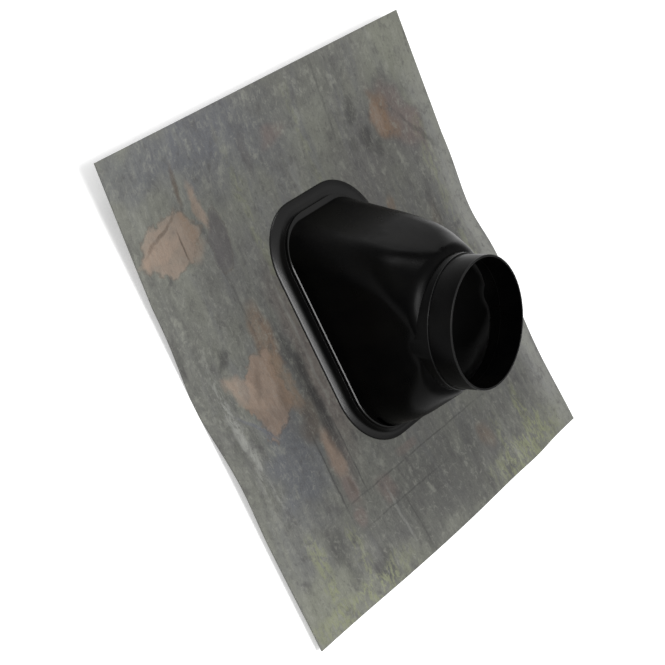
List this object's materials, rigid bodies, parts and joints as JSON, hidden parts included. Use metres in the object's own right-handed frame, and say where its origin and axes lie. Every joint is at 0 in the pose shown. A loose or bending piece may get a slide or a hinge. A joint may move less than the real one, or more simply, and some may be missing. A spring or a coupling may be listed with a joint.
{
  "type": "pipe flashing boot",
  "caption": "Roof pipe flashing: a square lead sheet with a black moulded boot whose sloping hood carries a round collar for a flue or vent pipe.",
  "frame": {"origin": "middle of the square lead sheet, on the flat surface the part rests on", "axes": "+Z is the sheet's normal, on the collar's side; +Y points up the roof slope, the way the collar leans; +X is level across the slope"},
  "size_m": [0.5, 0.5, 0.1741],
  "materials": {
    "lead": "patinated lead",
    "boot_plastic": "semi-gloss black",
    "frame_plastic": "matt black"
  },
  "bodies": {
    "root": {"lead_sheet": "lead", "boot": "boot_plastic", "retaining_frame": "frame_plastic"}
  },
  "joints": []
}
